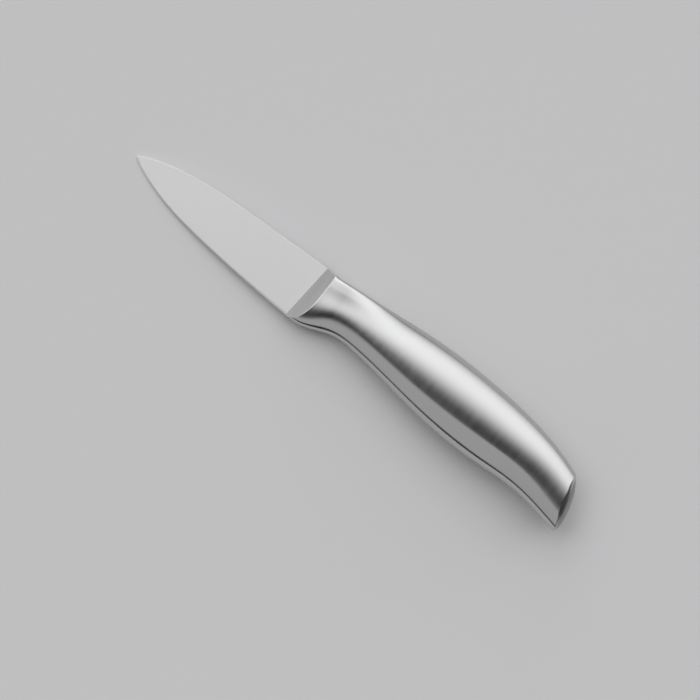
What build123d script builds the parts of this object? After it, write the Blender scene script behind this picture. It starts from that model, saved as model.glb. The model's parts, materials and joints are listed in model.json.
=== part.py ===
from build123d import *
import math
import os

# Paring knife with a hollow steel handle, lying on its side, in millimetres.
# It is drawn first in a knife frame: +X from the point to the butt, +Y to the spine, and Z = 0 on the
# middle plane. It is then laid down as it rests on a table, on its point and the swell of its handle.

# Blade: distance from the point, height of the spine, height of the cutting edge
BLADE = [
    (0.0, 0.3, -0.3),
    (1.6, 1.3, -1.15),
    (3.8, 2.45, -2.2),
    (7.6, 3.95, -3.6),
    (13.0, 5.6, -5.2),
    (20.0, 7.3, -6.85),
    (30.0, 8.95, -8.35),
    (43.0, 10.15, -9.55),
    (62.0, 11.2, -10.65),
    (86.0, 12.5, -11.3),
]
BLADE_STEPS = 14  # sections of the blade, closer together at the point
POINT_HALF = 0.25  # half the thickness at the point
FACE_RISE_ALONG = 0.003  # how the ground face rises for each millimetre towards the heel
FACE_RISE_UP = 0.025  # and for each millimetre from edge to spine
CUTTING_ANGLE = 15.0  # degrees for each side of the sharpened edge
BEVEL_REACH = 1.4  # more than the bevel's width, which the ground face cuts short
EDGE_LAND = 0.02  # half of what is left at the very edge

# Tang
STOCK_HALF = 0.8  # half the thickness of the unground strip
TANG_TOP = 6.5
TANG_BOTTOM = -3.5
TANG_ROOT = 1.6  # length of the thinner root, where the tang leaves the heel
TANG_ROOT_HALF = 0.36  # half the thickness there
TANG_END = 109.0
TANG_CORNER = 2.0

# Bolster
HEEL = 82.7  # where the slope meets the blade, on the knife's axis
HEEL_SLANT = 0.069  # how far that line leans back for each millimetre towards the spine
RAMP_SLOPE = 0.6  # rise of the front slope for each millimetre
SHOULDER_PROUD = 0.25  # how far the bolster stands above the handle's spine
NECK = 88.8  # where the handle shells begin
SPIGOT_END = 101.0
SPIGOT_GAP = 0.4

# Handle: distance from the point, spine, belly, half thickness
HANDLE = [
    (81.0, 12.0, -11.25, 3.3),
    (88.0, 12.3, -11.0, 3.9),
    (93.8, 12.95, -9.0, 4.5),
    (99.4, 13.6, -6.75, 5.0),
    (105.0, 14.2, -5.85, 5.5),
    (112.5, 15.0, -6.1, 6.1),
    (127.5, 16.75, -7.75, 7.0),
    (142.5, 17.75, -9.45, 7.6),
    (157.5, 17.8, -10.25, 7.8),
    (172.5, 17.05, -9.75, 7.65),
    (187.5, 15.1, -8.7, 7.2),
    (200.6, 11.75, -9.8, 6.4),
    (214.0, 6.8, -12.0, 5.6),
]
WIDEST_DROP = 0.09  # how far the widest place lies below the middle, as a share of the half depth
SPINE_FULL = 0.09  # how much fuller than an ellipse the section is at the spine
BELLY_FULL = 0.38  # and at the belly of the neck
BELLY_BLEND = (86.0, 98.0)  # where that fullness of the belly fades out
NECK_BLEND_END = 122.0  # the spine's side of the section is square at the neck and oval from here
SQUARE_RISE = 4.0  # how steeply the square side rises from the spine
SQUARE_CROWN = 0.07  # how much lower it is at the spine than at its middle
SQUARE_SHARPNESS = 5.0
SQUARE_FADE = (-0.1, 0.7)  # shares of the half depth between which the square side fades in

# Facet along the belly: distance from the point, its upper and lower edge as shares of the half depth
FACET = [
    (88.0, -0.52, -0.72),
    (98.0, -0.4, -0.63),
    (106.0, -0.42, -0.68),
    (128.0, -0.42, -0.75),
    (143.0, -0.36, -0.75),
    (158.0, -0.3, -0.74),
    (174.0, -0.25, -0.75),
    (190.0, -0.26, -0.755),
    (202.0, -0.32, -0.75),
    (214.0, -0.36, -0.75),
]
FACET_SHARPNESS = 16.0
SECTION_POINTS = 25
WALL = 0.8
WELD_WIDTH = 1.0

# Butt cap: its outline on the middle plane, turned about a slanting line
BUTT_TOP = (201.0, 12.8)
BUTT_LINE = [
    (204.3, 10.2),
    (205.6, 8.8),
    (206.6, 7.3),
    (208.6, 3.8),
    (210.0, 0.0),
    (210.9, -3.2),
    (211.5, -6.8),
    (211.6, -9.3),
    (210.9, -11.6),
]
BUTT_FOOT = (209.6, -13.4)
BARREL_MIDDLE = (203.1, -0.5)
BARREL_SLANT = 0.382  # how far the turning line leans for each millimetre of height
CAP_THICKNESS = 1.2

# Balance weight on the tail of the tang
WEIGHT_START = 104.5
WEIGHT_END = 122.0
WEIGHT_TOP = 11.4
WEIGHT_BOTTOM = 0.8
WEIGHT_HALF = 3.3
WEIGHT_EDGE = 1.0
BEAD = 1.1  # leg of the hidden weld beads

# How it lies: degrees nose down, degrees rolled edge down, and the middle of the underside of its box then
REST_PITCH = 2.945
REST_ROLL = 3.345
REST_MIDDLE = (105.676, 2.668, -0.2514)


def smooth(stations, x):
    """Height at x of the natural cubic spline through the (x, height) stations."""
    xs = [s[0] for s in stations]
    ys = [s[1] for s in stations]
    n = len(xs)
    gaps = [xs[i + 1] - xs[i] for i in range(n - 1)]
    bend = [0.0] * n
    pivot = [1.0] * n
    right = [0.0] * n
    for i in range(1, n - 1):
        rise = (ys[i + 1] - ys[i]) / gaps[i] - (ys[i] - ys[i - 1]) / gaps[i - 1]
        lower = gaps[i - 1] if i > 1 else 0.0
        share = lower / pivot[i - 1]
        pivot[i] = 2 * (gaps[i - 1] + gaps[i]) - share * lower
        right[i] = 6 * rise - share * right[i - 1]
    for i in range(n - 2, 0, -1):
        bend[i] = (right[i] - gaps[i] * bend[i + 1]) / pivot[i]
    i = max(0, min(n - 2, sum(1 for v in xs[1:] if v < x)))
    a = (xs[i + 1] - x) / gaps[i]
    b = (x - xs[i]) / gaps[i]
    curve = (a**3 - a) * bend[i] + (b**3 - b) * bend[i + 1]
    return a * ys[i] + b * ys[i + 1] + curve * gaps[i] ** 2 / 6


def handle_size(x):
    """Spine, belly and half thickness of the handle at x."""
    return [smooth([(row[0], row[i]) for row in HANDLE], x) for i in (1, 2, 3)]


def ease(value, first, last):
    """0 before first, 1 after last, and a smooth rise between them."""
    w = max(0.0, min(1.0, (value - first) / (last - first)))
    return w * w * (3 - 2 * w)


def lower_of(one, other, sharpness):
    """The smaller of two heights, rounded where they meet."""
    if one < 1e-6:
        return 0.0
    return (one**-sharpness + other**-sharpness) ** (-1 / sharpness)


def squareness(x):
    """How square the spine's side of the section is, from 1 at the neck to 0."""
    return 1 - ease(x, NECK, NECK_BLEND_END)


def belly_fullness(x):
    """How much fuller than an ellipse the section is at the belly."""
    return BELLY_FULL * (1 - ease(x, *BELLY_BLEND))


def oval(x, share):
    """Half thickness as a share of its largest, at a share of the half depth from -1, belly, to 1, spine."""
    square = squareness(x)
    belly = belly_fullness(x)

    def plain(v):
        sine = math.sqrt(max(0.0, 1 - v * v))
        full = (SPINE_FULL + belly) / 2 + (SPINE_FULL - belly) / 2 * v
        own = sine * (1 + full * v * v)
        squared = lower_of(SQUARE_RISE * sine, 1 - SQUARE_CROWN * v * v, SQUARE_SHARPNESS)
        return own + square * ease(v, *SQUARE_FADE) * (squared - own)

    top = smooth([(row[0], row[1]) for row in FACET], x)
    bottom = smooth([(row[0], row[2]) for row in FACET], x)
    slope = (plain(top) - plain(bottom)) / (top - bottom)
    facet = plain(top) + slope * (share - top)
    return lower_of(plain(share), facet, FACET_SHARPNESS)


def half_section(x, inset=0.0, proud=0.0):
    """Upper half of the handle's section at x, as a closed wire, taken in by inset."""
    spine, belly, half = handle_size(x)
    spine = spine - inset + proud
    belly = belly + inset
    half = half - inset
    middle = (spine + belly) / 2
    depth = (spine - belly) / 2
    count = SECTION_POINTS - 1
    points = []
    for i in range(SECTION_POINTS):
        share = math.cos(math.pi * i / count)
        height = middle + depth * (share - WIDEST_DROP * (1 - share**2))
        points.append(Vector(x, height, half * oval(x, share)))
    points[0] = Vector(x, spine, 0)
    points[-1] = Vector(x, belly, 0)
    square = squareness(x)
    start = math.pi * half * ((1 - square) * (1 + SPINE_FULL) + square * SQUARE_RISE)
    end = math.pi * half * (1 + belly_fullness(x))
    arch = Edge.make_spline(
        points,
        tangents=[Vector(0, 0, start), Vector(0, 0, -end)],
        parameters=[i / count for i in range(SECTION_POINTS)],
        scale=False,
    )
    return Wire([arch, Edge.make_line(points[-1], points[0])])


def half_handle(first, last, inset=0.0, proud=0.0):
    """Upper half of the handle's form between two distances from the point, with closer sections at the neck."""
    steps = max(6, round((last - first) / 6))
    stations = [first + (last - first) * (i / steps) ** 1.3 for i in range(steps + 1)]
    return Solid.make_loft([half_section(x, inset, proud) for x in stations])


def box_between(low, high):
    """Box between two opposite corners."""
    size = [b - a for a, b in zip(low, high)]
    centre = [(a + b) / 2 for a, b in zip(low, high)]
    return Pos(*centre) * Box(*size)


def lower_side(shape):
    """The same shape on the other side of the middle plane."""
    return mirror(shape, about=Plane.XY)


def wedge(height, along, up):
    """Everything between a face of the given height and slopes, measured at the point, and its mirror image."""
    face = Plane(origin=(0, 0, height), x_dir=(1, 0, along), z_dir=(-along, -up, 1))
    below = face * Box(500, 200, 30, align=(Align.CENTER, Align.CENTER, Align.MAX))
    return below & lower_side(below)


def behind_heel():
    """Everything on the butt's side of the slanting heel."""
    line = [
        (HEEL - 30 * HEEL_SLANT, -30),
        (250, -30),
        (250, 30),
        (HEEL + 30 * HEEL_SLANT, 30),
    ]
    return extrude(make_face(Polyline(*line, close=True)), 20, both=True)


def blade_wedge():
    return wedge(POINT_HALF, FACE_RISE_ALONG, FACE_RISE_UP)


def make_tang():
    """Flat tang with rounded tail corners, thin where it leaves the heel and then of full strip thickness."""
    root = box_between((HEEL - 3, TANG_BOTTOM, -TANG_ROOT_HALF), (HEEL + TANG_ROOT, TANG_TOP, TANG_ROOT_HALF))
    tail = box_between((HEEL + TANG_ROOT, TANG_BOTTOM, -STOCK_HALF), (TANG_END, TANG_TOP, STOCK_HALF))
    tail = fillet(tail.edges().filter_by(Axis.Z).group_by(Axis.X)[-1], TANG_CORNER)
    return (root & behind_heel()) + tail


def make_blade(tang):
    """Ground blade with its two cutting bevels and its tang."""
    sections = []
    for i in range(BLADE_STEPS + 1):
        x = BLADE[-1][0] * (i / BLADE_STEPS) ** 1.7
        spine, edge = [smooth([(row[0], row[k]) for row in BLADE], x) for k in (1, 2)]
        bevel = min(BEVEL_REACH, (spine - edge) / 3)
        high = EDGE_LAND + bevel * math.tan(math.radians(CUTTING_ANGLE))
        side = [(edge, EDGE_LAND), (edge + bevel, high), (spine, 2.0)]
        corners = [Vector(x, y, z) for y, z in side] + [Vector(x, y, -z) for y, z in reversed(side)]
        sections.append(Wire.make_polygon(corners, close=True))
    blank = Solid.make_loft(sections)
    return (blank & blade_wedge()) - behind_heel() + tang


def make_bolster(neck_form, spigot_form, tang):
    """Neck block: a front slope down to the blade, a shoulder, and a spigot inside the shells."""
    rise = FACE_RISE_ALONG + RAMP_SLOPE
    lean = FACE_RISE_UP - RAMP_SLOPE * HEEL_SLANT
    slope = wedge(POINT_HALF - RAMP_SLOPE * HEEL, rise, lean)
    slab = box_between((HEEL - 5, -40, -20), (NECK, 40, 20))
    head = neck_form & slope & slab & behind_heel()
    spigot = spigot_form & box_between((NECK - 1, -40, -20), (SPIGOT_END, 40, 20))
    return head + spigot - tang


def butt_front(inset):
    """Everything in front of the butt cap's outer face, moved inwards by inset."""
    foot = Vector(BARREL_MIDDLE[0] + 20 * BARREL_SLANT, BARREL_MIDDLE[1] - 20, 0)
    top = Vector(BARREL_MIDDLE[0] - 20 * BARREL_SLANT, BARREL_MIDDLE[1] + 20, 0)
    along = (foot - top).normalized()
    out = Vector(-along.Y, along.X, 0)
    corners = [Vector(x, y, 0) - out * inset for x, y in [BUTT_TOP] + BUTT_LINE + [BUTT_FOOT]]
    first = top + along * (corners[0] - top).dot(along)
    last = top + along * (corners[-1] - top).dot(along)
    outline = [
        Edge.make_line(first, corners[0]),
        Edge.make_spline(corners),
        Edge.make_line(corners[-1], last),
        Edge.make_line(last, first),
    ]
    barrel = revolve(make_face(Wire(outline)), Axis(top, along), 360)
    front = [(60, 60), (top.X - 40 * BARREL_SLANT, 59.5), (foot.X + 40 * BARREL_SLANT, -60.5), (60, -60)]
    block = extrude(make_face(Polyline(*front, close=True)), 20, both=True)
    return barrel + block


def make_weight(tang):
    """Chamfered block with a slot for the tail of the tang."""
    block = box_between((WEIGHT_START, WEIGHT_BOTTOM, -WEIGHT_HALF), (WEIGHT_END, WEIGHT_TOP, WEIGHT_HALF))
    block = chamfer(block.edges().filter_by(Axis.X), WEIGHT_EDGE)
    return block - tang


def bead(wall, side, low, high):
    """Quarter-round bead along Y, in the corner of the tang's face and a wall at x that looks along the side."""
    corner = Vector(wall, low, STOCK_HALF)
    reach = Vector(wall + side * BEAD, low, STOCK_HALF)
    crest = Vector(wall, low, STOCK_HALF + BEAD)
    belly = Vector(wall + side * BEAD * 0.65, low, STOCK_HALF + BEAD * 0.65)
    outline = [
        Edge.make_line(corner, reach),
        Edge.make_three_point_arc(reach, belly, crest),
        Edge.make_line(crest, corner),
    ]
    return extrude(make_face(Wire(outline)), high - low, dir=(0, 1, 0))


def both_sides(half):
    """A half shape joined to its mirror image over the middle plane."""
    return half + lower_side(half)


def largest(shape):
    """The biggest solid of a cut shape."""
    return max(shape.solids(), key=lambda solid: solid.volume)


def lay_down(shapes):
    """The pieces turned to how they rest, with the middle of the underside of their box at the origin."""
    turn = Rot(REST_ROLL, 0, 0) * Rot(0, -REST_PITCH, 0)
    turned = {name: [turn * solid for solid in solids] for name, solids in shapes.items()}
    move = Pos(-REST_MIDDLE[0], -REST_MIDDLE[1], -REST_MIDDLE[2])
    return {name: [move * solid for solid in solids] for name, solids in turned.items()}


def build():
    """Every piece by name, each as a list of solids, in the knife frame."""
    tang = make_tang()
    blade = make_blade(tang)
    neck_form = both_sides(half_handle(HEEL - 4, NECK + 2, 0.0, SHOULDER_PROUD))
    spigot_form = both_sides(half_handle(NECK - 1, SPIGOT_END + 2, WALL + SPIGOT_GAP))
    bolster = make_bolster(neck_form, spigot_form, tang)

    outside = half_handle(NECK, HANDLE[-1][0]) & butt_front(0.0)
    inside = half_handle(NECK - 0.5, HANDLE[-1][0] + 0.5, WALL)
    wall = outside - inside
    behind_ring = butt_front(WELD_WIDTH)
    butt_ring = both_sides(wall - behind_ring)
    butt_cap = both_sides(largest((inside & butt_front(0.0)) - butt_front(CAP_THICKNESS)))
    sleeve = wall & behind_ring
    neck_ring = both_sides(sleeve & box_between((NECK - 1, -40, -1), (NECK + WELD_WIDTH, 40, 20)))
    sleeve = sleeve & box_between((NECK + WELD_WIDTH, -40, -1), (250, 40, 20))
    seam_half = WELD_WIDTH / 2
    spine_strip = largest(sleeve & box_between((0, 0, -1), (250, 40, seam_half)))
    belly_strip = largest(sleeve & box_between((0, -40, -1), (250, 0, seam_half)))
    shell = largest(sleeve - spine_strip - belly_strip)

    weight = make_weight(tang)
    tang_bead = bead(SPIGOT_END, 1, TANG_BOTTOM + 0.5, TANG_TOP - 0.5)
    weight_bead = bead(WEIGHT_START, -1, WEIGHT_BOTTOM + 0.5, TANG_TOP - 0.5)
    return {
        "blade": [blade],
        "bolster": [bolster],
        "handle_shell_upper": [shell],
        "handle_shell_lower": [lower_side(shell)],
        "butt_cap": [butt_cap],
        "balance_weight": [weight],
        "weld_spine_seam": [both_sides(spine_strip)],
        "weld_belly_seam": [both_sides(belly_strip)],
        "weld_neck_ring": [neck_ring],
        "weld_butt_ring": [butt_ring],
        "weld_tang": [tang_bead, lower_side(tang_bead)],
        "weld_weight": [weight_bead, lower_side(weight_bead)],
    }


os.makedirs("parts", exist_ok=True)
for name, solids in lay_down(build()).items():
    print(name, [(len(s.solids()), round(s.volume, 2), s.is_valid) for s in solids])
    export_step(Compound(solids) if len(solids) > 1 else solids[0], f"parts/{name}.step")
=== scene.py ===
"""Steel paring knife with a hollow handle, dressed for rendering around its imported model."""

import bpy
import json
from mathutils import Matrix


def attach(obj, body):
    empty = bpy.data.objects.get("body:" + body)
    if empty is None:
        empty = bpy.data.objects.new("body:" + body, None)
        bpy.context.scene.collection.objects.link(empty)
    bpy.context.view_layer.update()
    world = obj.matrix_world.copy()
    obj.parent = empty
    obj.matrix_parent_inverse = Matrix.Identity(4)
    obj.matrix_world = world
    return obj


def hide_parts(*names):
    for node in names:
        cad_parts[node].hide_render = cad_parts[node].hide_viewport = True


bl_info = {
    "name": "Steel paring knife",
    "version": (1, 0, 0),
    "blender": (4, 5, 0),
    "location": "3D View > Sidebar > Knife",
    "description": "Builds the visible pieces of a paring knife, their brushed steel and a plain studio",
    "category": "Add Mesh",
}

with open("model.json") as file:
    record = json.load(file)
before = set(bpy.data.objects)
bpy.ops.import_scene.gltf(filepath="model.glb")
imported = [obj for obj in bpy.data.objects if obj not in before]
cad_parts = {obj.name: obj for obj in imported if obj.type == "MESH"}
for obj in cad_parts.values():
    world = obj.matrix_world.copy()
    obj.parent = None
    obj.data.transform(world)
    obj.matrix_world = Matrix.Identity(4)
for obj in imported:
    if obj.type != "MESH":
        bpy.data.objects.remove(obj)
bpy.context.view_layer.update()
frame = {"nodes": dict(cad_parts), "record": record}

import functools
import json
import math

import bpy
import numpy as np
from bpy.props import FloatProperty, FloatVectorProperty, PointerProperty

MM = 0.001
TINY = 1e-9

# The knife's own frame, read from its mounts: X from the point to the butt, Y to the spine, Z through it.
# The constants' sizes are in millimetres in that frame, where no comment says metres.
MOUNTS = {mount["name"]: mount for mount in frame["record"]["mounts"]}
POINT = np.array(MOUNTS["blade_sheath"]["pos_m"])
LENGTHWISE = -np.array(MOUNTS["blade_sheath"]["axis"])
THROUGH = np.array(MOUNTS["grip"]["axis"])
KNIFE_AXES = np.array([LENGTHWISE, np.cross(THROUGH, LENGTHWISE), THROUGH])
AHEAD = np.array([1.0, 0.0, 0.0])
UP = np.array([0.0, 0.0, 1.0])

# Blade: distance from the point, height of the spine, height of the cutting edge
BLADE = [
    (0.0, 0.3, -0.3),
    (1.6, 1.3, -1.15),
    (3.8, 2.45, -2.2),
    (7.6, 3.95, -3.6),
    (13.0, 5.6, -5.2),
    (20.0, 7.3, -6.85),
    (30.0, 8.95, -8.35),
    (43.0, 10.15, -9.55),
    (62.0, 11.2, -10.65),
    (86.0, 12.5, -11.3),
]
POINT_HALF = 0.25  # half thickness at the point, which the ground face rises from along and up the blade
FACE_RISE_ALONG = 0.003
FACE_RISE_UP = 0.025
EDGE_LAND = 0.02
BEVEL_SHARE = 0.6  # most of the blade's width that the bevel may take at the point
STOCK_HALF = 0.8
TANG_TOP = 6.5
TANG_BOTTOM = -3.5
TANG_END = 109.0
TANG_ROOT = 1.6
TANG_ROOT_HALF = 0.36
CORNER_SHARE = 0.3  # most of the spine's height that its broken corner may take at the point
BLADE_CORE = np.array([0.0, 0.5, 0.0])  # on the line that the blade's faces look away from

# Bolster
HEEL = 82.7
HEEL_SLANT = 0.069
RAMP_SLOPE = 0.6
RAMP_FOOT = -0.5  # how far in front of the heel line the ramp still falls
RAMP_CRISPNESS = 240.0
SHOULDER_PROUD = 0.25
NECK = 88.8
SPIGOT_END = 101.0
SPIGOT_GAP = 0.4

# Handle: distance from the point, spine, belly, half thickness
HANDLE = [
    (81.0, 12.0, -11.25, 3.3),
    (88.0, 12.3, -11.0, 3.9),
    (93.8, 12.95, -9.0, 4.5),
    (99.4, 13.6, -6.75, 5.0),
    (105.0, 14.2, -5.85, 5.5),
    (112.5, 15.0, -6.1, 6.1),
    (127.5, 16.75, -7.75, 7.0),
    (142.5, 17.75, -9.45, 7.6),
    (157.5, 17.8, -10.25, 7.8),
    (172.5, 17.05, -9.75, 7.65),
    (187.5, 15.1, -8.7, 7.2),
    (200.6, 11.75, -9.8, 6.4),
    (214.0, 6.8, -12.0, 5.6),
]
WIDEST_DROP = 0.09  # how far under its middle the section is widest, as a share of half its depth
SPINE_FULL = 0.09  # how much fuller than an ellipse the section is at the spine
BELLY_FULL = 0.38  # and at the belly of the neck
BELLY_BLEND = (86.0, 98.0)
NECK_BLEND_END = 122.0  # the spine's side of the section is square at the neck and oval from here
SQUARE_RISE = 4.0  # how steeply that square side rises from the spine
SQUARE_CROWN = 0.07  # how far its flat falls towards the spine
SQUARE_CRISPNESS = 5.0
SQUARE_FADE = (-0.1, 0.7)  # shares of the half depth over which it sets in

# Facet along the belly: distance from the point, its upper and lower edge as shares of the half depth
FACET = [
    (88.0, -0.52, -0.72),
    (98.0, -0.4, -0.63),
    (106.0, -0.42, -0.68),
    (128.0, -0.42, -0.75),
    (143.0, -0.36, -0.75),
    (158.0, -0.3, -0.74),
    (174.0, -0.25, -0.75),
    (190.0, -0.26, -0.755),
    (202.0, -0.32, -0.75),
    (214.0, -0.36, -0.75),
]
SOFT_EDGE = 14.0  # crispness of the facet's upper edge in the neck
CRISP_EDGE = 90.0  # the same along the swell of the handle
LOWER_EDGE = 60.0  # the most for the facet's lower edge, which is never crisper than the upper one
CRISP_FROM = 106.0  # the upper edge turns crisp from here
CRISP_TO = 150.0  # to here

# Butt: its outline on the middle plane, turned about a slanting line
BUTT_TOP = (201.0, 12.8)
BUTT_LINE = [
    (204.3, 10.2),
    (205.6, 8.8),
    (206.6, 7.3),
    (208.6, 3.8),
    (210.0, 0.0),
    (210.9, -3.2),
    (211.5, -6.8),
    (211.6, -9.3),
    (210.9, -11.6),
]
BUTT_FOOT = (209.6, -13.4)
BARREL_MIDDLE = np.array([203.1, -0.5, 0.0])
BARREL_SLANT = 0.382
RIM_SEARCH = (194.0, 213.5)  # where along the knife the rim is looked for
INNER_SHRINK = 0.96  # the cap's inner face, as a share of its rim

# Grain: fineness, streak length, unevenness, tone change, and the bump's depth in metres
HANDLE_GRAIN = (2.6, 9.0, 0.08, 0.04, 0.0000015)
BLADE_GRAIN = (3.4, 14.0, 0.06, 0.03, 0.000001)
BARE_GRAIN = (0.5, 1.2, 0.2, 0.25, 0.00002)
GRAIN_RADIUS = 11.0  # radius that turns the angle round the knife into millimetres of grain

# How finely the surfaces are divided
ROWS = 116
RING_ROWS = 3
SEAM_COLUMNS = 5
SHELL_COLUMNS = 181
BLADE_ROWS = 90
BLADE_CROWDING = 1.7  # power that draws the blade's rows together at the point
STRIP_COLUMNS = 5
BOLSTER_ROWS = 46
SPIGOT_ROWS = 8
BUTT_ROWS = 6
RIM_STEPS = 5
CAP_RINGS = 40

# How finely places and slopes on them are worked out
LINE_STEPS = 600
HALVINGS = 40
HEEL_ROUNDS = 6
SLOPE_STEP = 0.01
NORMAL_STEP = 0.0001
MERGE_DIGITS = 4  # corners that agree to this many decimals are one corner


def spline(stations):
    """Natural cubic spline through (x, value) stations, as a function of an array of x."""
    xs, ys = np.array(stations, float).T
    gap = np.diff(xs)
    inner = np.diag(2 * (gap[:-1] + gap[1:])) + np.diag(gap[1:-1], 1) + np.diag(gap[1:-1], -1)
    bend = np.zeros(len(xs))
    bend[1:-1] = np.linalg.solve(inner, 6 * np.diff(np.diff(ys) / gap))

    def value(x):
        """a y0 + b y1 + ((a^3 - a) bend0 + (b^3 - b) bend1) gap^2 / 6, with b = 1 - a from 0 to 1."""
        i = np.clip(np.searchsorted(xs, x) - 1, 0, len(xs) - 2)
        a = (xs[i + 1] - x) / gap[i]
        b = (x - xs[i]) / gap[i]
        curve = (a**3 - a) * bend[i] + (b**3 - b) * bend[i + 1]
        return a * ys[i] + b * ys[i + 1] + curve * gap[i] ** 2 / 6

    return value


SPINE, BELLY, HALF = [spline([(row[0], row[k]) for row in HANDLE]) for k in (1, 2, 3)]
BLADE_SPINE, BLADE_EDGE = [spline([(row[0], row[k]) for row in BLADE]) for k in (1, 2)]
FACET_TOP, FACET_BOTTOM = [spline([(row[0], row[k]) for row in FACET]) for k in (1, 2)]

BARREL_ALONG = np.array([BARREL_SLANT, -1.0, 0.0]) / math.hypot(BARREL_SLANT, 1.0)
BARREL_OUT = np.array([-BARREL_ALONG[1], BARREL_ALONG[0], 0.0])
BUTT_POINTS = [np.array([x, y, 0.0]) - BARREL_MIDDLE for x, y in [BUTT_TOP, *BUTT_LINE, BUTT_FOOT]]
BARREL_RADIUS = spline([(p @ BARREL_ALONG, p @ BARREL_OUT) for p in BUTT_POINTS])


def ease(x, first, last):
    """0 before first, 1 after last and 3w^2 - 2w^3 between them."""
    w = np.clip((x - first) / (last - first), 0, 1)
    return w * w * (3 - 2 * w)


def lower_of(one, other, crispness):
    """The smaller of two heights, rounded where they meet: (one^-c + other^-c)^(-1/c)."""
    return one * (1 + (one / other) ** crispness) ** (-1 / crispness)


def halve(low, high, reached):
    """Bisection for whole arrays: where reached(x) turns true between low and high."""
    for _ in range(HALVINGS):
        middle = (low + high) / 2
        yes = reached(middle)
        low, high = np.where(yes, low, middle), np.where(yes, middle, high)
    return (low + high) / 2


def handle_surface(x, turn, inset=0.0, proud=0.0):
    """Outside of the handle at x, with turn 0 at the spine, pi/2 on the upper side and pi at the belly.

    With s = cos(turn), the height is middle + depth (s - drop (1 - s^2)), and the thickness is
    half sin(turn) (1 + (a + b s) s^2), squared off towards the spine in the neck and cut down by the
    straight facet along the belly. The crispness of the cut eases over the facet from its lower edge's
    to its upper edge's.
    """
    spine = SPINE(x) - inset + proud
    belly = BELLY(x) + inset
    half = HALF(x) - inset
    squareness = 1 - ease(x, NECK, NECK_BLEND_END)
    at_belly = BELLY_FULL * (1 - ease(x, *BELLY_BLEND))

    def plain(s):
        """Thickness over half, before the facet."""
        sine = np.sqrt(np.maximum(0, 1 - s * s))
        full = (SPINE_FULL + at_belly) / 2 + (SPINE_FULL - at_belly) / 2 * s
        own = sine * (1 + full * s * s)
        squared = lower_of(SQUARE_RISE * sine, 1 - SQUARE_CROWN * s * s, SQUARE_CRISPNESS)
        return own + squareness * ease(s, *SQUARE_FADE) * (squared - own)

    share = np.cos(turn)
    top, bottom = FACET_TOP(x), FACET_BOTTOM(x)
    slope = (plain(top) - plain(bottom)) / (top - bottom)
    facet = plain(top) + slope * (share - top)
    upper_edge = SOFT_EDGE + (CRISP_EDGE - SOFT_EDGE) * ease(x, CRISP_FROM, CRISP_TO)
    lower_edge = np.minimum(LOWER_EDGE, upper_edge)
    crispness = lower_edge + (upper_edge - lower_edge) * ease(share, bottom, top)
    y = (spine + belly) / 2 + (spine - belly) / 2 * (share - WIDEST_DROP * (1 - share**2))
    z = np.sign(np.sin(turn)) * half * lower_of(plain(share), facet, crispness)
    return np.stack([x + 0 * y, y, z], axis=-1)


def bolster_surface(x, turn):
    """The handle's form, cut down by the ramp: height at the blade's face + slope (x - heel line)."""
    form = handle_surface(x, turn, 0.0, SHOULDER_PROUD)
    y = form[..., 1]
    ramp = face_height(x, y) + RAMP_SLOPE * np.maximum(x - HEEL - HEEL_SLANT * y, RAMP_FOOT)
    z = np.sign(form[..., 2]) * lower_of(np.abs(form[..., 2]), ramp, RAMP_CRISPNESS)
    return np.stack([form[..., 0], y, z], axis=-1)


def face_height(x, y):
    """The blade's ground face over the middle plane."""
    return POINT_HALF + FACE_RISE_ALONG * x + FACE_RISE_UP * y


def barrel_surface(along, z):
    """The butt's dome over the slanting line: out = sqrt(radius(along)^2 - z^2)."""
    out = np.sqrt(np.maximum(0, BARREL_RADIUS(along) ** 2 - z**2))
    return BARREL_MIDDLE + along[..., None] * BARREL_ALONG + out[..., None] * BARREL_OUT + z[..., None] * UP


def beyond_barrel(points):
    """How far points lie outside the butt's dome, negative in front of it."""
    step = points - BARREL_MIDDLE
    out = np.maximum(0, step @ BARREL_OUT)
    return np.hypot(out, points[..., 2]) - BARREL_RADIUS(step @ BARREL_ALONG)


@functools.cache
def seam_turns(seam_half, inset):
    """Places along the knife, and the turns there from spine and from belly to where z = seam_half."""
    x = np.linspace(HANDLE[0][0], HANDLE[-1][0], LINE_STEPS)
    quarter = np.full_like(x, math.pi / 2)
    spine = halve(0 * x, quarter, lambda turn: handle_surface(x, turn, inset)[:, 2] > seam_half)
    belly = halve(0 * x, quarter, lambda turn: handle_surface(x, math.pi - turn, inset)[:, 2] > seam_half)
    return x, spine, belly


def lane_turn(x, lane, seam_half, inset=0.0):
    """Turn round the handle of a lane: 0 to 1 is the spine seam, 1 to 2 the upper shell, 2 to 3 the belly
    seam and 3 to 4 the lower shell."""
    xs, spine, belly = seam_turns(seam_half, inset)
    spine, belly = np.interp(x, xs, spine), np.interp(x, xs, belly)
    stops = np.stack([-spine, spine, math.pi - belly, math.pi + belly, 2 * math.pi - spine])
    piece = np.clip(np.floor(lane), 0, 3).astype(int) + np.zeros(np.shape(x), int)
    start = np.take_along_axis(stops, piece[None], axis=0)[0]
    end = np.take_along_axis(stops, piece[None] + 1, axis=0)[0]
    return start + (end - start) * (lane - piece)


def lanes_of(first, last):
    """Lane numbers from first to last, closer together in the shells than in the seams."""
    counts = [SHELL_COLUMNS if lane % 2 else SEAM_COLUMNS for lane in range(first, last)]
    spans = [np.linspace(lane, lane + 1, n)[:-1] for lane, n in zip(range(first, last), counts)]
    return np.concatenate([*spans, [last]])


def rim_of(lane, seam_half, inset=0.0):
    """Where along the knife a lane reaches the butt's dome."""

    def reached(x):
        """Whether the lane is outside the dome at x."""
        return beyond_barrel(handle_surface(x, lane_turn(x, lane, seam_half, inset), inset)) > 0

    return halve(np.full_like(lane, RIM_SEARCH[0]), np.full_like(lane, RIM_SEARCH[1]), reached)


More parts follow.
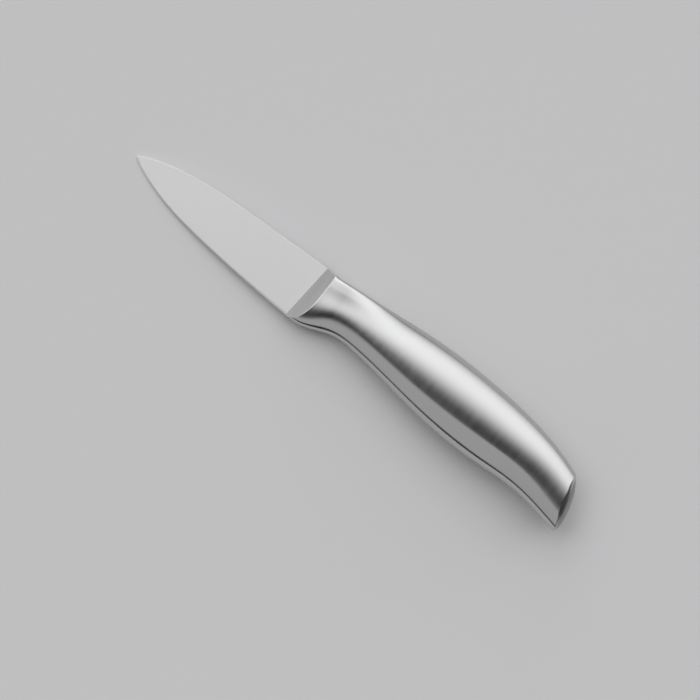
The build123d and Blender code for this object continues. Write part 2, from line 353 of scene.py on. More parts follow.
def unit(vectors):
    """Vectors brought to length 1."""
    return vectors / np.maximum(TINY, np.linalg.norm(vectors, axis=-1, keepdims=True))


def patch(surface, u, v, inwards=False):
    """Grid of points, normals and UV of surface(u, v), with the normal d/dv x d/du from small steps."""
    across = surface(u + NORMAL_STEP, v) - surface(u - NORMAL_STEP, v)
    along = surface(u, v + NORMAL_STEP) - surface(u, v - NORMAL_STEP)
    normal = unit(np.cross(along, across))
    points = surface(u, v)
    return points, -normal if inwards else normal, grain_marks(points, v)


def grain_marks(points, turn):
    """UV in millimetres: along the knife, and about as far round it."""
    return np.stack([points[..., 0], turn * GRAIN_RADIUS], axis=-1)


def bridge(first, second, outwards):
    """Straight strip between two rows of points, with flat normals on the side that outwards points to."""
    points = np.stack([first, second])
    normal = unit(np.cross(np.gradient(points, axis=1), second - first + 0 * points))
    facing = np.sum(normal * outwards, axis=-1, keepdims=True)
    normal = np.where(facing < 0, -normal, normal)
    return points, normal, points[..., :2] + points[..., 2:] * np.array([0.0, 1.0])


def make_piece(name, patches, material, nodes):
    """One closed mesh from patches: corners that meet are merged, and faces follow the patches' normals."""
    triangles = []
    first = 0
    for points, _, _ in patches:
        rows, columns = points.shape[:2]
        index = first + np.arange(rows * columns).reshape(rows, columns)
        a, b, c, d = index[:-1, :-1], index[1:, :-1], index[1:, 1:], index[:-1, 1:]
        triangles += [np.stack(three, axis=-1).reshape(-1, 3) for three in ((a, b, c), (a, c, d))]
        first += rows * columns
    corners = np.concatenate(triangles)
    points, normals, marks = [
        np.concatenate([one[k].reshape(-1, one[k].shape[-1]) for one in patches]) for k in range(3)
    ]
    vertices, merged = np.unique(np.round(points, MERGE_DIGITS), axis=0, return_inverse=True)
    faces = merged.ravel()[corners]
    real = (faces[:, 0] != faces[:, 1]) & (faces[:, 1] != faces[:, 2]) & (faces[:, 2] != faces[:, 0])
    corners, faces = corners[real], faces[real]
    three = vertices[faces]
    facing = np.cross(three[:, 1] - three[:, 0], three[:, 2] - three[:, 0])
    wrong = np.sum(facing * normals[corners].sum(axis=1), axis=-1) < 0
    corners[wrong] = corners[wrong][:, ::-1]
    faces[wrong] = faces[wrong][:, ::-1]

    mesh = bpy.data.meshes.new(name)
    mesh.vertices.add(len(vertices))
    mesh.vertices.foreach_set("co", (POINT + vertices * MM @ KNIFE_AXES).ravel())
    mesh.loops.add(faces.size)
    mesh.loops.foreach_set("vertex_index", faces.ravel())
    mesh.polygons.add(len(faces))
    mesh.polygons.foreach_set("loop_start", np.arange(len(faces)) * 3)
    mesh.update(calc_edges=True)
    mesh.polygons.foreach_set("use_smooth", np.ones(len(faces), bool))
    mesh.uv_layers.new(name="Grain").data.foreach_set("uv", marks[corners].ravel())
    mesh.normals_split_custom_set((normals[corners].reshape(-1, 3) @ KNIFE_AXES).tolist())
    piece = bpy.data.objects.new(name, mesh)
    bpy.context.scene.collection.objects.link(piece)
    mesh.materials.append(material)
    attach(piece, "root")
    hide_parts(*nodes)


def handle_patch(lane, first, last, seam_half, inset=0.0, rows=ROWS):
    """The handle's surface from first to last along each lane, facing inwards where it is inset."""
    part, lanes = np.meshgrid(np.linspace(0, 1, rows), lane, indexing="ij")
    x = first + (last - first) * part
    turn = lane_turn(x, lanes, seam_half, inset)
    return patch(lambda u, v: handle_surface(u, v, inset), x, turn, inwards=inset > 0)


def sleeve(lane, first, last, sizes, rows=ROWS, closed=False):
    """Closed wall between the handle's outside and its inside, from first to last along each lane."""
    seam_half, wall = sizes.weld_width / MM / 2, sizes.wall / MM
    outer = handle_patch(lane, first, last, seam_half, 0.0, rows)
    inner = handle_patch(lane, first, last, seam_half, wall, rows)
    front = bridge(outer[0][0], inner[0][0], -AHEAD)
    back = bridge(outer[0][-1], inner[0][-1], AHEAD)
    patches = [outer, inner, front, back]
    if not closed:
        for side, beside in ((0, 1), (-1, -2)):
            away = outer[0][:, side] - outer[0][:, beside]
            patches.append(bridge(outer[0][:, side], inner[0][:, side], away))
    return patches


def shell_end(lane, seam_half, weld):
    """Where the shells stop and the ring of weld metal at the butt begins."""
    return rim_of(lane, seam_half) - weld * math.hypot(BARREL_SLANT, 1.0)


def butt_ring(sizes):
    """The last millimetre of wall, its softly broken rim, and the narrow band of dome that it carries.

    The band is the dome between the corner, k = 0, and the inside of the wall, k = 1, from where the
    broken rim ends. The rim is p (1 - b)^2 + 2 c b (1 - b) + q b^2, from p on the wall round the
    corner c to q on the band.
    """
    seam_half, weld = sizes.weld_width / MM / 2, sizes.weld_width / MM
    wall, broken = sizes.wall / MM, sizes.rim_break / MM
    lane = lanes_of(0, 4)
    first = shell_end(lane, seam_half, weld)
    rim = rim_of(lane, seam_half)
    outer = handle_patch(lane, first, rim - broken, seam_half, 0.0, BUTT_ROWS)
    inner = handle_patch(lane, first, rim_of(lane, seam_half, wall), seam_half, wall, BUTT_ROWS)
    corner = handle_patch(lane, rim, rim, seam_half, 0.0, 2)[0][0]

    low, high = corner - BARREL_MIDDLE, inner[0][-1] - BARREL_MIDDLE
    k = np.linspace(broken / wall, 1, RIM_STEPS)[:, None]
    along = (low @ BARREL_ALONG) * (1 - k) + (high @ BARREL_ALONG) * k
    face_points = barrel_surface(along, low[:, 2] * (1 - k) + high[:, 2] * k)
    face = (face_points, barrel_normal(face_points), face_points[..., :2])
    bend = np.linspace(0, 1, RIM_STEPS)[:, None, None]
    round_points = outer[0][-1] * (1 - bend) ** 2 + corner * 2 * bend * (1 - bend)
    round_points = round_points + face_points[0] * bend**2
    round_normals = unit(outer[1][-1] * (1 - bend) + face[1][0] * bend)
    rounding = (round_points, round_normals, round_points[..., :2])
    return [outer, rounding, face, inner, bridge(outer[0][0], inner[0][0], -AHEAD)]


def barrel_normal(points):
    """Normal of the dome: away from the slanting line, leaning by the slope of its radius."""
    step = points - BARREL_MIDDLE
    along = step @ BARREL_ALONG
    slope = (BARREL_RADIUS(along + SLOPE_STEP) - BARREL_RADIUS(along - SLOPE_STEP)) / (2 * SLOPE_STEP)
    radial = step - along[..., None] * BARREL_ALONG
    return unit(unit(radial) - slope[..., None] * BARREL_ALONG)


def butt_cap(sizes):
    """The dome inside the ring: loops shrunk towards its middle, and the same face shrunk and set in.

    The inner face is centre + (outer - centre) INNER_SHRINK, less the plate's depth along the knife.
    """
    seam_half, wall = sizes.weld_width / MM / 2, sizes.wall / MM
    lane = lanes_of(0, 4)
    x = rim_of(lane, seam_half, wall)
    loop = handle_surface(x, lane_turn(x, lane, seam_half, wall), wall) - BARREL_MIDDLE
    along = loop @ BARREL_ALONG
    middle = (along.min() + along.max()) / 2
    share = np.linspace(1, 0, CAP_RINGS)[:, None]
    outer = barrel_surface(middle + (along - middle) * share, loop[:, 2] * share)
    normal = barrel_normal(outer)
    centre = outer[-1, 0]
    depth = sizes.cap_thickness / MM * math.hypot(BARREL_SLANT, 1.0)
    inner = centre + (outer - centre) * INNER_SHRINK - depth * AHEAD
    away = outer[0] - centre
    return [
        (outer, normal, outer[..., :2]),
        (inner, -normal, inner[..., :2]),
        bridge(outer[0], inner[0], away),
    ]


def knife_blade(sizes):
    """Blade as straight strips between its long lines: land, bevel, ground face, corner and spine."""
    tangent = math.tan(sizes.cutting_angle)
    broken = sizes.spine_break / MM

    def bevel_top(x):
        """Where the bevel, land + (y - edge) tan(angle), meets the ground face."""
        edge, spine = BLADE_EDGE(x), BLADE_SPINE(x)
        y = (POINT_HALF + FACE_RISE_ALONG * x - EDGE_LAND + tangent * edge) / (tangent - FACE_RISE_UP)
        y = np.minimum(y, edge + BEVEL_SHARE * (spine - edge))
        return y, EDGE_LAND + (y - edge) * tangent

    def corner(x):
        """How far the spine's corner is broken: broken, or less where the spine is low."""
        return np.minimum(broken, CORNER_SHARE * BLADE_SPINE(x))

    def under_corner(x):
        """Where the ground face ends under the broken corner."""
        y = BLADE_SPINE(x) - corner(x)
        return y, face_height(x, y)

    lines = [
        lambda x: (BLADE_EDGE(x), EDGE_LAND + 0 * x),
        bevel_top,
        under_corner,
        lambda x: (BLADE_SPINE(x), face_height(x, BLADE_SPINE(x)) - corner(x)),
    ]

    def long_line(number, side, part):
        """Points of a long line on one side, with part 0 at the point and 1 at the slanting heel line."""
        end = np.full(np.shape(part), HEEL)
        for _ in range(HEEL_ROUNDS):
            end = HEEL + HEEL_SLANT * lines[number](end)[0]
        x = end * part
        y, z = lines[number](x)
        return np.stack([x, y, side * z], axis=-1)

    rows = np.linspace(0, 1, BLADE_ROWS) ** BLADE_CROWDING
    part, across = np.meshgrid(rows, np.linspace(0, 1, STRIP_COLUMNS), indexing="ij")
    loop = [(n, 1) for n in range(4)] + [(n, -1) for n in reversed(range(4))]
    patches = []
    rims = []
    for one, other in zip(loop, loop[1:] + loop[:1]):

        def strip(u, v, one=one, other=other):
            """one (1 - v) + other v, at the part u of both lines."""
            k = v[..., None]
            return long_line(*one, u) * (1 - k) + long_line(*other, u) * k

        points, normal, _ = patch(strip, part, across)
        outwards = points - BLADE_CORE - points * AHEAD
        wrong = np.sum(normal * outwards, axis=-1).mean() < 0
        marks = np.stack([points[..., 0], points[..., 1] + points[..., 2]], axis=-1)
        patches.append((points, -normal if wrong else normal, marks))
        rims.append(points)
    for end, away in ((0, -AHEAD), (-1, AHEAD)):
        edge = np.concatenate([points[end, :-1] for points in rims] + [rims[0][end, :1]])
        middle = edge.mean(axis=0) * np.ones_like(edge)
        patches.append(bridge(edge, middle, away))
    root_end = HEEL + TANG_ROOT
    patches += box_patches((HEEL, TANG_BOTTOM, -TANG_ROOT_HALF), (root_end, TANG_TOP, TANG_ROOT_HALF))
    patches += box_patches((root_end, TANG_BOTTOM, -STOCK_HALF), (TANG_END, TANG_TOP, STOCK_HALF))
    return patches


def box_patches(low, high):
    """Six flat patches of a box between two corners."""
    low, high = np.array(low), np.array(high)
    patches = []
    for axis in range(3):
        u, v = [k for k in range(3) if k != axis]
        for level, facing in ((low, -1), (high, 1)):
            points = np.zeros((2, 2, 3)) + level
            points[:, :, u] = np.array([[low[u], low[u]], [high[u], high[u]]])
            points[:, :, v] = np.array([[low[v], high[v]], [low[v], high[v]]])
            normal = np.zeros((2, 2, 3))
            normal[..., axis] = facing
            patches.append((points, normal, points[..., [u, v]]))
    return patches


def knife_bolster(sizes):
    """Neck block: the ramped head from the heel line to the neck ring, and the spigot in the shells."""
    turns = np.linspace(0, 2 * math.pi, 2 * SHELL_COLUMNS - 1)
    part, turn = np.meshgrid(np.linspace(0, 1, BOLSTER_ROWS), turns, indexing="ij")
    heel = np.full(np.shape(turns), HEEL)
    for _ in range(HEEL_ROUNDS):
        heel = HEEL + HEEL_SLANT * handle_surface(heel, turns, 0.0, SHOULDER_PROUD)[:, 1]
    head = patch(bolster_surface, heel + (NECK - heel) * part, turn)
    inset = sizes.wall / MM + SPIGOT_GAP
    spigot_part, spigot_turn = np.meshgrid(np.linspace(0, 1, SPIGOT_ROWS), turns, indexing="ij")
    spigot_x = NECK + (SPIGOT_END - NECK) * spigot_part
    spigot = patch(lambda u, v: handle_surface(u, v, inset), spigot_x, spigot_turn)
    front, back = head[0][0], spigot[0][-1]
    return [
        head,
        spigot,
        bridge(front, 0 * front + front.mean(axis=0), -AHEAD),
        bridge(head[0][-1], spigot[0][0], AHEAD),
        bridge(back, 0 * back + back.mean(axis=0), AHEAD),
    ]


def grain_group():
    """Node group: brushed streaks across the knife, as a colour, a roughness and a height that vary."""
    if "Brushed grain" in bpy.data.node_groups:
        return bpy.data.node_groups["Brushed grain"]
    group = bpy.data.node_groups.new("Brushed grain", "ShaderNodeTree")
    sockets = group.interface
    sockets.new_socket("Vector", in_out="INPUT", socket_type="NodeSocketVector")
    colour_in = sockets.new_socket("Colour", in_out="INPUT", socket_type="NodeSocketColor")
    colour_in.default_value = (0.6, 0.6, 0.6, 1.0)
    for name, value in (
        ("Fineness", 3.0),
        ("Streak length", 6.0),
        ("Roughness", 0.3),
        ("Unevenness", 0.1),
        ("Tone change", 0.06),
    ):
        socket = sockets.new_socket(name, in_out="INPUT", socket_type="NodeSocketFloat")
        socket.default_value = value
    sockets.new_socket("Colour", in_out="OUTPUT", socket_type="NodeSocketColor")
    sockets.new_socket("Roughness", in_out="OUTPUT", socket_type="NodeSocketFloat")
    sockets.new_socket("Height", in_out="OUTPUT", socket_type="NodeSocketFloat")

    nodes, links = group.nodes, group.links
    given = nodes.new("NodeGroupInput")
    result = nodes.new("NodeGroupOutput")

    def math_node(kind, first, second):
        """One step of arithmetic on two numbers or sockets."""
        node = nodes.new("ShaderNodeMath")
        node.operation = kind
        for socket, value in zip(node.inputs, (first, second)):
            if isinstance(value, (int, float)):
                socket.default_value = value
            else:
                links.new(value, socket)
        return node.outputs[0]

    def streaks(density, detail):
        """Noise about 0, at density x fineness along the knife and density / streak length round it."""
        stretch = nodes.new("ShaderNodeCombineXYZ")
        links.new(math_node("MULTIPLY", given.outputs["Fineness"], density), stretch.inputs["X"])
        links.new(math_node("DIVIDE", density, given.outputs["Streak length"]), stretch.inputs["Y"])
        stretch.inputs["Z"].default_value = 1.0
        scaled = nodes.new("ShaderNodeVectorMath")
        scaled.operation = "MULTIPLY"
        links.new(given.outputs["Vector"], scaled.inputs[0])
        links.new(stretch.outputs[0], scaled.inputs[1])
        noise = nodes.new("ShaderNodeTexNoise")
        noise.inputs["Scale"].default_value = 1.0
        noise.inputs["Detail"].default_value = detail
        noise.inputs["Roughness"].default_value = 0.6
        links.new(scaled.outputs[0], noise.inputs["Vector"])
        return math_node("SUBTRACT", noise.outputs["Fac"], 0.5)

    fine = streaks(density=1.0, detail=3.0)
    broad = streaks(density=0.22, detail=2.0)
    both = math_node("ADD", fine, broad)
    rough = math_node("MULTIPLY", both, given.outputs["Unevenness"])
    links.new(math_node("ADD", given.outputs["Roughness"], rough), result.inputs["Roughness"])
    tone = math_node("ADD", math_node("MULTIPLY", both, given.outputs["Tone change"]), 1.0)
    tinted = nodes.new("ShaderNodeVectorMath")
    tinted.operation = "SCALE"
    links.new(given.outputs["Colour"], tinted.inputs[0])
    links.new(tone, tinted.inputs["Scale"])
    links.new(tinted.outputs[0], result.inputs["Colour"])
    links.new(both, result.inputs["Height"])
    return group


def brushed_steel(name, colour, roughness, grain, anisotropy, on_uv=True):
    """Metal whose streaks run across the knife, so that it stretches reflections along it.

    Its grain follows the piece's UV map, or its object coordinates where on_uv is False.
    """
    fineness, length, unevenness, tone_change, depth = grain
    material = bpy.data.materials.new(name)
    material.use_nodes = True
    nodes, links = material.node_tree.nodes, material.node_tree.links
    shader = nodes["Principled BSDF"]
    shader.inputs["Metallic"].default_value = 1.0
    shader.inputs["Anisotropic"].default_value = anisotropy
    place = nodes.new("ShaderNodeTexCoord")
    group = nodes.new("ShaderNodeGroup")
    group.node_tree = grain_group()
    group.inputs["Colour"].default_value = (*colour, 1.0)
    for socket, value in (
        ("Fineness", fineness),
        ("Streak length", length),
        ("Roughness", roughness),
        ("Unevenness", unevenness),
        ("Tone change", tone_change),
    ):
        group.inputs[socket].default_value = value
    if on_uv:
        links.new(place.outputs["UV"], group.inputs["Vector"])
        along = nodes.new("ShaderNodeTangent")
        along.direction_type = "UV_MAP"
        along.uv_map = "Grain"
        links.new(along.outputs[0], shader.inputs["Tangent"])
    else:
        in_mm = nodes.new("ShaderNodeMapping")
        in_mm.inputs["Scale"].default_value = (1 / MM, 1 / MM, 1 / MM)
        links.new(place.outputs["Object"], in_mm.inputs["Vector"])
        links.new(in_mm.outputs[0], group.inputs["Vector"])
    bump = nodes.new("ShaderNodeBump")
    bump.inputs["Strength"].default_value = 1.0
    bump.inputs["Distance"].default_value = depth
    links.new(group.outputs["Height"], bump.inputs["Height"])
    links.new(bump.outputs[0], shader.inputs["Normal"])
    links.new(group.outputs["Colour"], shader.inputs["Base Color"])
    links.new(group.outputs["Roughness"], shader.inputs["Roughness"])
    return material


def handle_steel():
    """Steel of the bolster, the shells and the ground welds, which share one material."""
    finish = bpy.context.scene.knife_finish
    return bpy.data.materials.get("Handle steel") or brushed_steel(
        "Handle steel",
        finish.handle_colour,
        finish.handle_roughness,
        HANDLE_GRAIN,
        finish.anisotropy,
    )


def cap_steel_painted_dark():
    """The handle's steel in the butt cap's darker colour, which is painted shade: the same steel darkened
    to stand in for the dark reflection on the dome.
    """
    finish = bpy.context.scene.knife_finish
    return brushed_steel(
        "Cap steel painted dark",
        finish.cap_painted_shade_colour,
        finish.handle_roughness,
        HANDLE_GRAIN,
        finish.anisotropy,
    )


def blade_steel_painted_bright():
    """Finely ground, rougher steel of the blade, with its colour lifted well above the handle's steel as
    painted light that brightens the blade.
    """
    finish = bpy.context.scene.knife_finish
    return brushed_steel(
        "Blade steel painted bright",
        finish.blade_colour_painted_bright,
        finish.blade_roughness,
        BLADE_GRAIN,
        finish.blade_anisotropy,
    )


def bare_steel():
    """Unbrushed steel of the pieces that are sealed in the handle."""
    finish = bpy.context.scene.knife_finish
    return brushed_steel(
        "Bare steel",
        finish.bare_colour,
        finish.bare_roughness,
        BARE_GRAIN,
        0.0,
        on_uv=False,
    )


class KnifeSizes(bpy.types.PropertyGroup):
    wall: FloatProperty(
        name="Wall", description="Thickness of the handle's sheet steel", default=0.0008, unit="LENGTH"
    )
    weld_width: FloatProperty(
        name="Weld width", description="Width of the ground seams and rings", default=0.001, unit="LENGTH"
    )
    cap_thickness: FloatProperty(
        name="Cap thickness", description="Thickness of the domed butt plate", default=0.0012, unit="LENGTH"
    )
    rim_break: FloatProperty(
        name="Rim break", description="How far the butt's rim is rounded", default=0.00018, unit="LENGTH"
    )
    spine_break: FloatProperty(
        name="Spine break",
        description="How far the blade's spine corners are broken",
        default=0.00012,
        unit="LENGTH",
    )
    cutting_angle: FloatProperty(
        name="Cutting angle",
        description="Angle of each side of the sharpened edge",
        default=math.radians(15),
        subtype="ANGLE",
        unit="ROTATION",
    )


class KnifeFinish(bpy.types.PropertyGroup):
    handle_colour: FloatVectorProperty(
        name="Handle colour",
        description="Colour of the handle's steel",
        default=(0.6, 0.6, 0.605),
        subtype="COLOR",
    )
    handle_roughness: FloatProperty(
        name="Handle roughness",
        description="Roughness of the handle's steel",
        default=0.21,
        subtype="FACTOR",
    )
    anisotropy: FloatProperty(
        name="Anisotropy",
        description="How far brushing stretches reflections on the handle",
        default=0.75,
        subtype="FACTOR",
    )
    # The cap's colour is darker than the handle's steel: painted shade standing in for the dark reflection
    # on the domed plate.
    cap_painted_shade_colour: FloatVectorProperty(
        name="Cap colour with painted shade",
        description="Colour of the butt's domed plate",
        default=(0.34, 0.34, 0.345),
        subtype="COLOR",
    )
    # The blade's colour is set far above real steel's: painted light that brightens the blade beyond what
    # its lighting gives.
    blade_colour_painted_bright: FloatVectorProperty(
        name="Blade colour with painted brightness",
        description="Colour of the blade's steel",
        default=(0.9, 0.9, 0.905),
        subtype="COLOR",
    )
    blade_roughness: FloatProperty(
        name="Blade roughness", description="Roughness of the blade's steel", default=0.66, subtype="FACTOR"
    )
    blade_anisotropy: FloatProperty(
        name="Blade anisotropy",
        description="How far brushing stretches reflections on the blade",
        default=0.3,
        subtype="FACTOR",
    )
    bare_colour: FloatVectorProperty(
        name="Bare colour",
        description="Colour of the hidden steel",
        default=(0.42, 0.41, 0.4),
        subtype="COLOR",
    )
    bare_roughness: FloatProperty(
        name="Bare roughness", description="Roughness of the hidden steel", default=0.55, subtype="FACTOR"
    )


class KnifeStudio(bpy.types.PropertyGroup):
    floor_colour: FloatVectorProperty(
        name="Floor colour", description="Colour of the floor", default=(0.74, 0.74, 0.75), subtype="COLOR"
    )
    camera_height: FloatProperty(
        name="Camera height",
        description="Height of the camera over the floor",
        default=0.628,
        unit="LENGTH",
    )
    camera_turn: FloatProperty(
        name="Camera turn",
        description="How far the knife slants in the picture",
        default=math.radians(38.64),
        subtype="ANGLE",
        unit="ROTATION",
    )
    camera_aim: FloatVectorProperty(
        name="Camera aim",
        description="Place under the camera",
        default=(0.0035, -0.0093),
        size=2,
        unit="LENGTH",
    )
    lens: FloatProperty(name="Lens", description="Focal length in millimetres", default=85.0)


class KNIFE_OT_blade(bpy.types.Operator):
    """Blade with its ground faces, cutting bevels and tang"""

    bl_idname = "knife.blade"
    bl_label = "Blade"

    def execute(self, context):
        patches = knife_blade(context.scene.knife_sizes)
        # The blade's material carries painted light in its lifted colour.
        make_piece("ground_blade", patches, blade_steel_painted_bright(), ["blade"])
        return {"FINISHED"}


class KNIFE_OT_bolster(bpy.types.Operator):
    """Neck block with its front ramp and spigot"""

    bl_idname = "knife.bolster"
    bl_label = "Bolster"

    def execute(self, context):
        patches = knife_bolster(context.scene.knife_sizes)
        make_piece("ramped_bolster", patches, handle_steel(), ["bolster"])
        return {"FINISHED"}


class KNIFE_OT_shells(bpy.types.Operator):
    """The two pressed shells of the hollow handle"""

    bl_idname = "knife.shells"
    bl_label = "Handle shells"

    def execute(self, context):
        sizes = context.scene.knife_sizes
        weld = sizes.weld_width / MM
        for name, node, lane in (
            ("upper_shell", "handle_shell_upper", lanes_of(1, 2)),
            ("lower_shell", "handle_shell_lower", lanes_of(3, 4)),
        ):
            patches = sleeve(lane, NECK + weld, shell_end(lane, weld / 2, weld), sizes)
            make_piece(name, patches, handle_steel(), [node])
        return {"FINISHED"}


class KNIFE_OT_welds(bpy.types.Operator):
    """Ground seams along spine and belly, and the rings of weld metal at neck and butt"""

    bl_idname = "knife.welds"
    bl_label = "Ground welds"

    def execute(self, context):
        sizes = context.scene.knife_sizes
        weld = sizes.weld_width / MM
        for name, node, lane in (
            ("spine_seam", "weld_spine_seam", lanes_of(0, 1)),
            ("belly_seam", "weld_belly_seam", lanes_of(2, 3)),
        ):
            patches = sleeve(lane, NECK + weld, shell_end(lane, weld / 2, weld), sizes)
            make_piece(name, patches, handle_steel(), [node])
        neck = sleeve(lanes_of(0, 4), NECK, NECK + weld, sizes, RING_ROWS, closed=True)
        make_piece("neck_ring", neck, handle_steel(), ["weld_neck_ring"])
        make_piece("butt_ring", butt_ring(sizes), handle_steel(), ["weld_butt_ring"])
        return {"FINISHED"}


class KNIFE_OT_butt_cap(bpy.types.Operator):
    """Domed plate that closes the butt"""

    bl_idname = "knife.butt_cap"
    bl_label = "Butt cap"

    def execute(self, context):
        patches = butt_cap(context.scene.knife_sizes)
        # The cap's material is the handle's steel painted darker, as painted shade.
        make_piece("domed_cap", patches, cap_steel_painted_dark(), ["butt_cap"])
        return {"FINISHED"}


class KNIFE_OT_hidden_pieces(bpy.types.Operator):
    """Bare steel on the balance weight and the beads that are sealed in the handle"""

    bl_idname = "knife.hidden_pieces"
    bl_label = "Hidden pieces"

    def execute(self, context):
        steel = bare_steel()
        for name in ("balance_weight", "weld_tang", "weld_weight"):
            materials = frame["nodes"][name].data.materials
            materials.clear()
            materials.append(steel)
        return {"FINISHED"}


# Radiance of the studio round the knife's length, by degrees from straight up towards the spine's side
ROUND_THE_KNIFE = [
    (-180.0, 0.0),
    (-84.0, 0.0),
    (-72.0, 0.08),
    (-62.0, 0.5),
    (-30.0, 0.5),
    (-22.0, 0.02),
    (-3.0, 0.02),
    (5.0, 0.38),
    (15.0, 1.05),
    (26.0, 1.35),
    (46.0, 1.35),
    (66.0, 1.0),
    (84.0, 0.5),
    (100.0, 0.1),
]
BOUNDARY_SLANT = 40.0  # degrees that the curve turns to the spine's side in the direction of the butt
# By the direction's part along the knife: how much of that is replaced, and by what radiance
ALONG_THE_KNIFE = [
    (-1.0, 1.0, 0.45),
    (-0.86, 1.0, 0.45),
    (-0.78, 1.0, 2.0),
    (-0.46, 1.0, 2.0),
    (-0.34, 0.0, 2.0),
    (0.5, 0.0, 0.1),
    (0.7, 1.0, 0.05),
    (1.0, 1.0, 0.05),
]
REPLACED_FROM = (-32.0, -12.0)  # degrees round the knife over which that replacing sets in
FLOOR_REACH = 4.0  # metres from the floor's middle to each side
FLOOR_ROUGHNESS = 0.9
SENSOR_WIDTH = 36.0


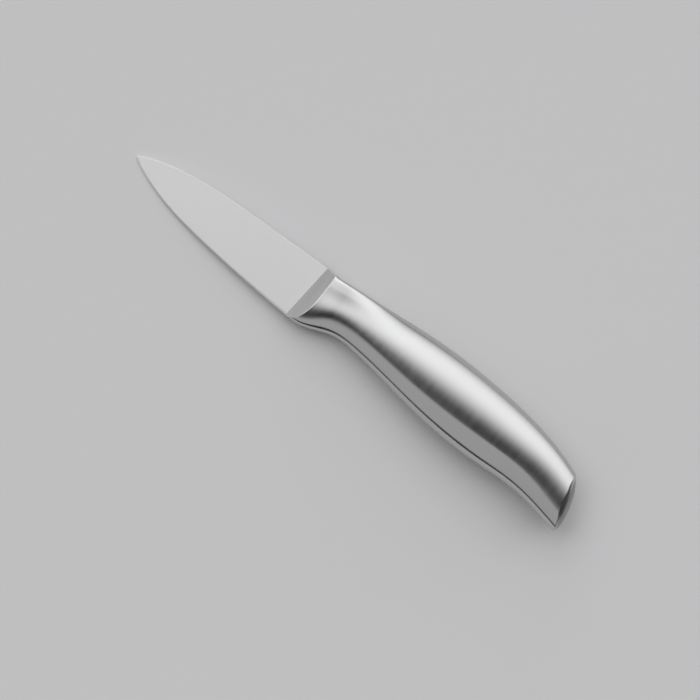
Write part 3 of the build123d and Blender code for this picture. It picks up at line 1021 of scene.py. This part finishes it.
class KNIFE_OT_stage(bpy.types.Operator):
    """Pale floor, camera straight above and a soft studio round them"""

    bl_idname = "knife.stage"
    bl_label = "Stage"

    def execute(self, context):
        studio = context.scene.knife_studio
        self.add_floor(context.scene, studio)
        self.add_camera(context.scene, studio)
        self.light_studio(context.scene)
        context.scene.view_settings.view_transform = "Standard"
        return {"FINISHED"}

    def add_floor(self, scene, studio):
        """Flat sheet under the knife, x and y from -FLOOR_REACH to FLOOR_REACH."""
        sides = [-FLOOR_REACH, FLOOR_REACH]
        u, v = np.meshgrid(sides, sides, indexing="ij")
        corners = np.stack([u, v, 0 * u], axis=-1).reshape(-1, 3)
        mesh = bpy.data.meshes.new("floor")
        mesh.from_pydata(corners.tolist(), [], [(0, 2, 3, 1)])
        floor = bpy.data.objects.new("floor", mesh)
        scene.collection.objects.link(floor)
        material = bpy.data.materials.new("Floor")
        material.use_nodes = True
        shader = material.node_tree.nodes["Principled BSDF"]
        shader.inputs["Base Color"].default_value = (*studio.floor_colour, 1.0)
        shader.inputs["Roughness"].default_value = FLOOR_ROUGHNESS
        shader.inputs["Specular IOR Level"].default_value = 0.0
        mesh.materials.append(material)

    def add_camera(self, scene, studio):
        """Camera over its aim, looking straight down."""
        data = bpy.data.cameras.new("camera")
        data.lens = studio.lens
        data.sensor_width = SENSOR_WIDTH
        camera = bpy.data.objects.new("camera", data)
        camera.location = (studio.camera_aim[0], studio.camera_aim[1], studio.camera_height)
        camera.rotation_euler = (0.0, 0.0, studio.camera_turn)
        scene.collection.objects.link(camera)
        scene.camera = camera

    def light_studio(self, scene):
        """World whose radiance is a curve of the angle round the knife, mixed with one along it."""
        world = bpy.data.worlds.new("studio")
        scene.world = world
        world.use_nodes = True
        nodes, links = world.node_tree.nodes, world.node_tree.links
        place = nodes.new("ShaderNodeTexCoord")
        split = nodes.new("ShaderNodeSeparateXYZ")
        links.new(place.outputs["Generated"], split.inputs[0])
        angle = nodes.new("ShaderNodeMath")
        angle.operation = "ARCTAN2"
        links.new(split.outputs["Y"], angle.inputs[0])
        links.new(split.outputs["Z"], angle.inputs[1])

        def curve(source, low, high, stops):
            """Colour ramp over low to high of the source, with (place, value) stops."""
            spread = nodes.new("ShaderNodeMapRange")
            spread.inputs["From Min"].default_value = low
            spread.inputs["From Max"].default_value = high
            links.new(source, spread.inputs["Value"])
            ramp = nodes.new("ShaderNodeValToRGB")
            elements = ramp.color_ramp.elements
            while len(elements) > 1:
                elements.remove(elements[-1])
            for number, (at, value) in enumerate(stops):
                share = (at - low) / (high - low)
                element = elements[0] if number == 0 else elements.new(share)
                element.position = share
                element.color = (value, value, value, 1.0)
            links.new(spread.outputs[0], ramp.inputs[0])
            return ramp.outputs["Color"]

        slant = nodes.new("ShaderNodeMath")
        slant.operation = "MULTIPLY_ADD"
        slant.inputs[1].default_value = -math.radians(BOUNDARY_SLANT)
        links.new(split.outputs["X"], slant.inputs[0])
        links.new(angle.outputs[0], slant.inputs[2])
        turned = [(math.radians(degrees), value) for degrees, value in ROUND_THE_KNIFE]
        across = curve(slant.outputs[0], -math.pi, math.pi, turned)
        share = curve(split.outputs["X"], -1.0, 1.0, [(x, much) for x, much, _ in ALONG_THE_KNIFE])
        level = curve(split.outputs["X"], -1.0, 1.0, [(x, value) for x, _, value in ALONG_THE_KNIFE])
        side = nodes.new("ShaderNodeMapRange")
        side.inputs["From Min"].default_value = math.radians(REPLACED_FROM[0])
        side.inputs["From Max"].default_value = math.radians(REPLACED_FROM[1])
        links.new(angle.outputs[0], side.inputs["Value"])
        replaced = nodes.new("ShaderNodeMath")
        replaced.operation = "MULTIPLY"
        links.new(share, replaced.inputs[0])
        links.new(side.outputs[0], replaced.inputs[1])
        mix = nodes.new("ShaderNodeMix")
        mix.data_type = "RGBA"
        links.new(replaced.outputs[0], mix.inputs["Factor"])
        links.new(across, mix.inputs["A"])
        links.new(level, mix.inputs["B"])
        links.new(mix.outputs["Result"], nodes["Background"].inputs["Color"])


class KNIFE_PT_panel(bpy.types.Panel):
    """Lists the knife's pieces, sizes and finishes"""

    bl_label = "Paring knife"
    bl_idname = "KNIFE_PT_panel"
    bl_space_type = "VIEW_3D"
    bl_region_type = "UI"
    bl_category = "Knife"

    def draw(self, context):
        for group in (context.scene.knife_sizes, context.scene.knife_finish, context.scene.knife_studio):
            box = self.layout.box()
            for name in type(group).__annotations__:
                box.prop(group, name)
        for operator in OPERATORS:
            self.layout.operator(operator.bl_idname)


OPERATORS = [
    KNIFE_OT_stage,
    KNIFE_OT_blade,
    KNIFE_OT_bolster,
    KNIFE_OT_shells,
    KNIFE_OT_welds,
    KNIFE_OT_butt_cap,
    KNIFE_OT_hidden_pieces,
]
CLASSES = [KnifeSizes, KnifeFinish, KnifeStudio, *OPERATORS, KNIFE_PT_panel]


def register():
    """Register the classes and put their settings on the scene."""
    for one in CLASSES:
        bpy.utils.register_class(one)
    bpy.types.Scene.knife_sizes = PointerProperty(type=KnifeSizes)
    bpy.types.Scene.knife_finish = PointerProperty(type=KnifeFinish)
    bpy.types.Scene.knife_studio = PointerProperty(type=KnifeStudio)


def unregister():
    """Take away what register added."""
    del bpy.types.Scene.knife_studio
    del bpy.types.Scene.knife_finish
    del bpy.types.Scene.knife_sizes
    for one in reversed(CLASSES):
        bpy.utils.unregister_class(one)


def main():
    """Make the stage and the knife."""
    register()
    for operator in OPERATORS:
        group, name = operator.bl_idname.split(".")
        getattr(getattr(bpy.ops, group), name)()


if __name__ == "__main__":
    main()
